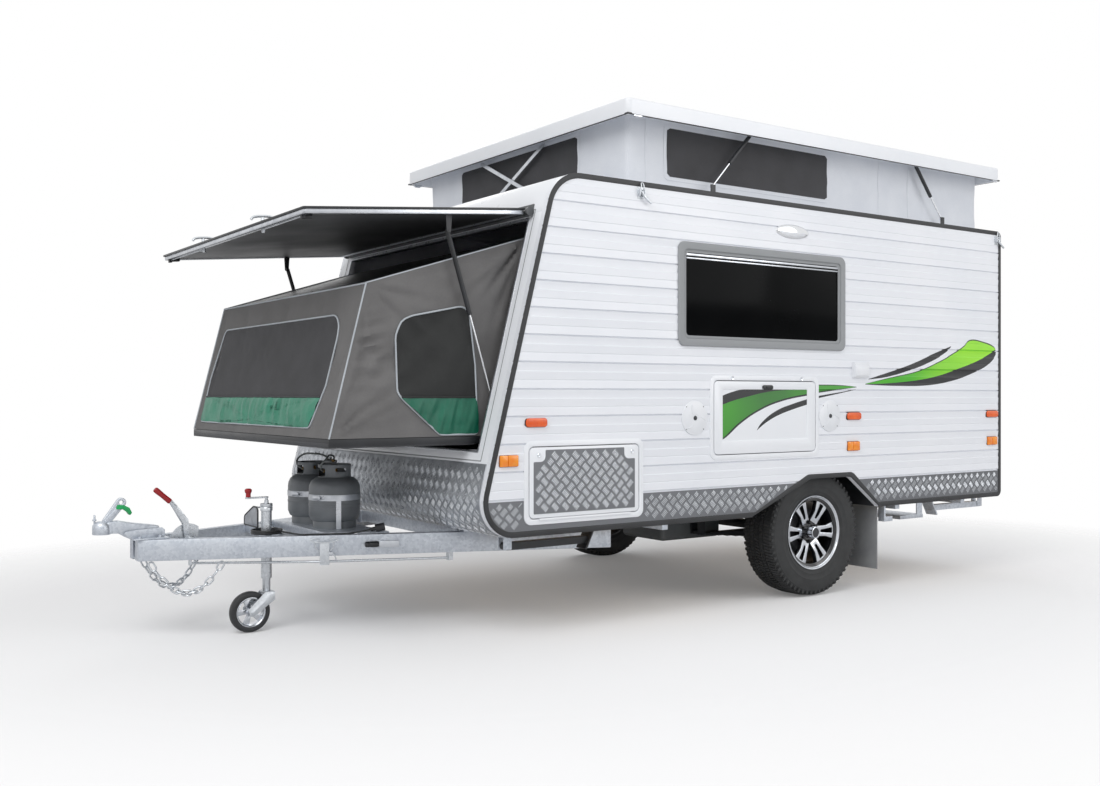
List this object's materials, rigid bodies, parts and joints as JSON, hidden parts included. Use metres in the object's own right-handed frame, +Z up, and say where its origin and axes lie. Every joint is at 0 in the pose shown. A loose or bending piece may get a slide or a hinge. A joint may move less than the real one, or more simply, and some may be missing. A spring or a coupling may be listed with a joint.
{
  "type": "pop-top camper caravan",
  "caption": "Small single-axle caravan with a lifting canvas-sided roof, a front hatch over a slide-out tented bed, and a drawbar with jockey wheel.",
  "frame": {"origin": "on the ground under the middle of the overall length and width", "axes": "+X forward along the drawbar, +Y to the left side, +Z up"},
  "size_m": [5.4579, 2.336, 2.665],
  "materials": {
    "white_panel": "ribbed cladding over a sandwich panel",
    "galvanised_steel": "galvanised",
    "zinc_steel": "zinc plated",
    "black_steel": "satin",
    "black_plastic": "matt",
    "grey_plastic": "matt",
    "chequer_plate": "bright tread plate",
    "dark_glass": "tinted",
    "tyre": "matt",
    "alloy": "machined and black",
    "rod_steel": "polished",
    "canvas_grey": "woven",
    "canvas_white": "coated",
    "foam": "woven",
    "plywood": "plain",
    "bottle_grey": "gloss",
    "rubber": "matt",
    "white_moulding": "gloss",
    "black_moulding": "satin"
  },
  "bodies": {
    "caravan": {"axle": "black_steel", "bottle_tray": "black_steel", "chassis_members": "galvanised_steel", "chassis_rails": "galvanised_steel", "chequer_skins": "chequer_plate", "coupling": "zinc_steel", "deck_ring": "white_moulding", "door_frame": "white_moulding", "edge_trims": "black_plastic", "floor": "plywood", "front_opening_frame": "white_moulding", "front_wall_lower": "white_panel", "gas_bottles": "bottle_grey", "jockey_tube": "zinc_steel", "lead_coil": "rubber", "lead_plug": "black_plastic", "lead_tube": "rubber", "leaf_springs": "black_steel", "lift_brackets": "zinc_steel", "locker_frames": "white_moulding", "nose_panel": "white_moulding", "rear_wall": "white_panel", "roof_canvas": "canvas_white", "safety_chains": "galvanised_steel", "side_fittings": "grey_plastic", "side_wall_left": "white_panel", "side_wall_right": "white_panel", "tent_canvas": "canvas_grey", "water_tank": "grey_plastic", "wheel_arch_liners": "black_plastic", "window_frames": "grey_plastic", "window_panes": "dark_glass"},
    "roof": {"roof_pan": "white_moulding"},
    "hatch": {"hatch_panel": "black_moulding"},
    "bed": {"bed_base": "plywood", "mattress": "foam"},
    "hatch_tubes": {"hatch_strut_tubes": "black_steel"},
    "hatch_rods": {"hatch_strut_rods": "rod_steel"},
    "roof_front_tubes": {"roof_front_strut_tubes": "black_steel"},
    "roof_front_rods": {"roof_front_strut_rods": "rod_steel"},
    "roof_rear_tubes": {"roof_rear_strut_tubes": "black_steel"},
    "roof_rear_rods": {"roof_rear_strut_rods": "rod_steel"},
    "scissor_a": {"scissor_bars_a": "zinc_steel"},
    "scissor_b": {"scissor_bars_b": "zinc_steel"},
    "wheel_left": {"tyre_left": "tyre", "rim_left": "alloy"},
    "wheel_right": {"tyre_right": "tyre", "rim_right": "alloy"},
    "jockey_stem": {"jockey_stem": "zinc_steel"},
    "jockey_fork": {"jockey_fork": "zinc_steel"},
    "jockey_wheel": {"jockey_wheel": "rubber"},
    "picnic_leaf": {"picnic_leaf": "white_moulding"},
    "boot_door": {"boot_door": "white_moulding"},
    "entry_door": {"entry_door": "white_moulding"},
    "steady_front_left": {"steady_front_left": "zinc_steel"},
    "steady_front_right": {"steady_front_right": "zinc_steel"},
    "steady_rear_left": {"steady_rear_left": "zinc_steel"},
    "steady_rear_right": {"steady_rear_right": "zinc_steel"}
  },
  "joints": [
    {"name": "hatch_hinge", "type": "hinge", "parent": "caravan", "child": "hatch", "pos_m": [0.95132, 0, 2.04198], "axis": [0, 1, 0], "range_deg": [0, 70.57]},
    {"name": "hatch_tube_pivot", "type": "hinge", "parent": "hatch", "child": "hatch_tubes", "pos_m": [1.369, 0, 1.922], "axis": [0, 1, 0], "range_deg": [-108.14, 0]},
    {"name": "hatch_rod_slide", "type": "slide", "parent": "hatch_tubes", "child": "hatch_rods", "axis": [-0.2986, 0, -0.9544], "range_m": [-0.3224, 0]},
    {"name": "bed_slide", "type": "slide", "parent": "caravan", "child": "bed", "axis": [-1, 0, 0], "range_m": [0, 0.76152], "deforming": ["tent_canvas"]},
    {"name": "roof_lift", "type": "slide", "parent": "caravan", "child": "roof", "axis": [0, 0, -1], "range_m": [0, 0.312], "deforming": ["roof_canvas"]},
    {"name": "roof_front_tube_pivot", "type": "hinge", "parent": "roof", "child": "roof_front_tubes", "pos_m": [-0.48, 0, 2.592], "axis": [0, 1, 0], "range_deg": [-46.45, 0]},
    {"name": "roof_front_rod_slide", "type": "slide", "parent": "roof_front_tubes", "child": "roof_front_rods", "axis": [0.6751, 0, -0.7377], "range_m": [-0.14027, 0]},
    {"name": "roof_rear_tube_pivot", "type": "hinge", "parent": "roof", "child": "roof_rear_tubes", "pos_m": [-1.9, 0, 2.592], "axis": [0, 1, 0], "range_deg": [0, 49.9]},
    {"name": "roof_rear_rod_slide", "type": "slide", "parent": "roof_rear_tubes", "child": "roof_rear_rods", "axis": [-0.6366, 0, -0.7712], "range_m": [-0.14872, 0]},
    {"name": "scissor_foot_pivot", "type": "hinge", "parent": "caravan", "child": "scissor_a", "pos_m": [0, -0.322, 2.256], "axis": [-1, 0, 0], "range_deg": [0, 25.47]},
    {"name": "scissor_centre_pivot", "type": "hinge", "parent": "scissor_a", "child": "scissor_b", "pos_m": [0, 0, 2.409], "axis": [1, 0, 0], "range_deg": [0, 50.93]},
    {"name": "wheel_left_spin", "type": "hinge", "parent": "caravan", "child": "wheel_left", "pos_m": [-1.005, 0.965, 0.3665], "axis": [0, 1, 0], "continuous": true},
    {"name": "wheel_right_spin", "type": "hinge", "parent": "caravan", "child": "wheel_right", "pos_m": [-1.005, -0.965, 0.3665], "axis": [0, 1, 0], "continuous": true},
    {"name": "jockey_raise", "type": "slide", "parent": "caravan", "child": "jockey_stem", "axis": [0, 0, 1], "range_m": [-0.15, 0.055]},
    {"name": "jockey_swivel", "type": "hinge", "parent": "jockey_stem", "child": "jockey_fork", "pos_m": [1.935, 0.171, 0.195], "axis": [0, 0, 1], "continuous": true},
    {"name": "jockey_wheel_spin", "type": "hinge", "parent": "jockey_fork", "child": "jockey_wheel", "pos_m": [2.02, 0.171, 0.1], "axis": [0, 1, 0], "continuous": true},
    {"name": "picnic_leaf_hinge", "type": "hinge", "parent": "caravan", "child": "picnic_leaf", "pos_m": [-0.541, 1.147, 0.842], "axis": [-1, 0, 0], "range_deg": [0, 90]},
    {"name": "boot_door_hinge", "type": "hinge", "parent": "caravan", "child": "boot_door", "pos_m": [0.693, 1.147, 0.576], "axis": [-1, 0, 0], "range_deg": [0, 100]},
    {"name": "entry_door_hinge", "type": "hinge", "parent": "caravan", "child": "entry_door", "pos_m": [-2.722, 0.622, 1.335], "axis": [0, 0, -1], "range_deg": [0, 105]},
    {"name": "steady_front_left_fold", "type": "hinge", "parent": "caravan", "child": "steady_front_left", "pos_m": [1.075, 1.01, 0.44], "axis": [0, -1, 0], "range_deg": [0, 63.75]},
    {"name": "steady_front_right_fold", "type": "hinge", "parent": "caravan", "child": "steady_front_right", "pos_m": [1.075, -1.01, 0.44], "axis": [0, -1, 0], "range_deg": [0, 63.75]},
    {"name": "steady_rear_left_fold", "type": "hinge", "parent": "caravan", "child": "steady_rear_left", "pos_m": [-2.64, 1.01, 0.44], "axis": [0, 1, 0], "range_deg": [0, 59]},
    {"name": "steady_rear_right_fold", "type": "hinge", "parent": "caravan", "child": "steady_rear_right", "pos_m": [-2.64, -1.01, 0.44], "axis": [0, 1, 0], "range_deg": [0, 59]}
  ],
  "couplings": [
    {"joint": "hatch_tube_pivot", "follows": "hatch_hinge", "ratio": -1.5293},
    {"joint": "hatch_rod_slide", "follows": "hatch_hinge", "m_per_rad": -0.26123},
    {"joint": "bed_slide", "follows": "hatch_hinge", "m_per_rad": 0.61704},
    {"joint": "roof_front_tube_pivot", "follows": "roof_lift", "rad_per_m": -2.5932},
    {"joint": "roof_front_rod_slide", "follows": "roof_lift", "ratio": -0.44868},
    {"joint": "roof_rear_tube_pivot", "follows": "roof_lift", "rad_per_m": 2.786},
    {"joint": "roof_rear_rod_slide", "follows": "roof_lift", "ratio": -0.47572},
    {"joint": "scissor_foot_pivot", "follows": "roof_lift", "rad_per_m": 1.4217},
    {"joint": "scissor_centre_pivot", "follows": "roof_lift", "rad_per_m": 2.8434}
  ]
}
